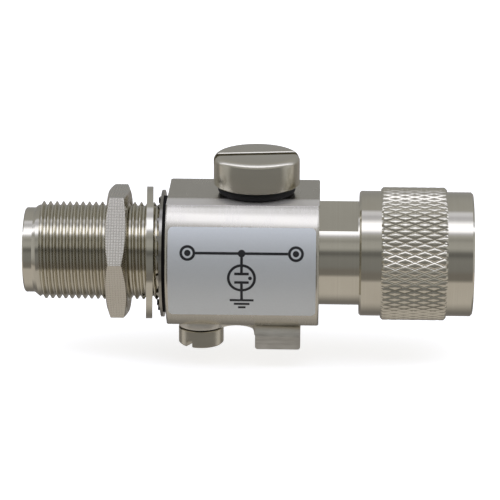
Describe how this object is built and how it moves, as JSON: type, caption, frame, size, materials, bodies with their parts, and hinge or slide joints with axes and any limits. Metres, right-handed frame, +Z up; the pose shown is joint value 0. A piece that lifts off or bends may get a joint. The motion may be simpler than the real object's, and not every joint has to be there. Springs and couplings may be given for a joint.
{
  "type": "coaxial lightning arrestor",
  "caption": "In-line coaxial lightning arrestor: threaded bulkhead jack with nut and washers, flat-sided round body with gas tube cap and ground lug, and a plug with a knurled coupling nut.",
  "frame": {"origin": "on the coaxial line's axis, at the face of the body that is drawn up against the panel", "axes": "+X along the line from the jack to the plug, +Z up through the gas tube cap, -Y towards the label"},
  "size_m": [0.0726, 0.0255, 0.0307],
  "materials": {
    "satin_nickel": "turned brass with satin nickel plate",
    "bright_nickel": "pressed or turned brass with bright nickel plate",
    "gilt_contact": "turned bronze with thin gold plate",
    "fluoroplastic": "machined white fluoroplastic",
    "black_rubber": "moulded black rubber",
    "red_silicone": "cut silicone rubber",
    "spring_steel": "plain spring steel",
    "alumina": "fired alumina",
    "label_foil": "silver polyester film, matt"
  },
  "bodies": {
    "arrestor": {"body": "satin_nickel", "label": "label_foil", "jack_barrel": "satin_nickel", "jack_insulator": "fluoroplastic", "jack_contact": "gilt_contact", "line_conductor": "bright_nickel", "bulkhead_gasket": "black_rubber", "plug_shell": "satin_nickel", "plug_insulator": "fluoroplastic", "plug_pin": "gilt_contact", "plug_gasket": "red_silicone", "retaining_ring": "spring_steel", "gas_tube_lower_electrode": "bright_nickel", "gas_tube_ceramic": "alumina", "gas_tube_upper_electrode": "bright_nickel"},
    "coupling": {"coupling_nut": "satin_nickel"},
    "washers": {"flat_washer": "bright_nickel", "lock_washer": "bright_nickel"},
    "nut": {"hex_nut": "satin_nickel"},
    "seal": {"cap_seal": "black_rubber"},
    "cap": {"tube_cap": "satin_nickel", "contact_spring": "spring_steel"},
    "lug": {"ground_lug": "bright_nickel"},
    "screw": {"ground_screw": "satin_nickel"}
  },
  "joints": [
    {"name": "coupling_spin", "type": "hinge", "parent": "arrestor", "child": "coupling", "pos_m": [0.0402, 0, 0], "axis": [1, 0, 0], "continuous": true},
    {"name": "nut_advance", "type": "slide", "parent": "arrestor", "child": "washers", "axis": [1, 0, 0], "range_m": [-0.01058, 0]},
    {"name": "nut_turn", "type": "hinge", "parent": "washers", "child": "nut", "pos_m": [-0.0082, 0, 0], "axis": [1, 0, 0], "range_deg": [-3600, 0]},
    {"name": "cap_lift", "type": "slide", "parent": "arrestor", "child": "seal", "axis": [0, 0, 1], "range_m": [0, 0.0045]},
    {"name": "cap_turn", "type": "hinge", "parent": "seal", "child": "cap", "pos_m": [0.01425, 0, 0.014], "axis": [0, 0, 1], "range_deg": [0, 2160]},
    {"name": "lug_drop", "type": "slide", "parent": "arrestor", "child": "lug", "axis": [0, 0, 1], "range_m": [-0.00315, 0]},
    {"name": "screw_turn", "type": "hinge", "parent": "lug", "child": "screw", "pos_m": [0.0054, -0.00405, -0.0126], "axis": [0, 0, 1], "range_deg": [-1620, 0]}
  ],
  "couplings": [
    {"joint": "nut_turn", "follows": "nut_advance", "rad_per_m": 5936.9},
    {"joint": "cap_turn", "follows": "cap_lift", "rad_per_m": 8377.6},
    {"joint": "screw_turn", "follows": "lug_drop", "rad_per_m": 8976}
  ]
}
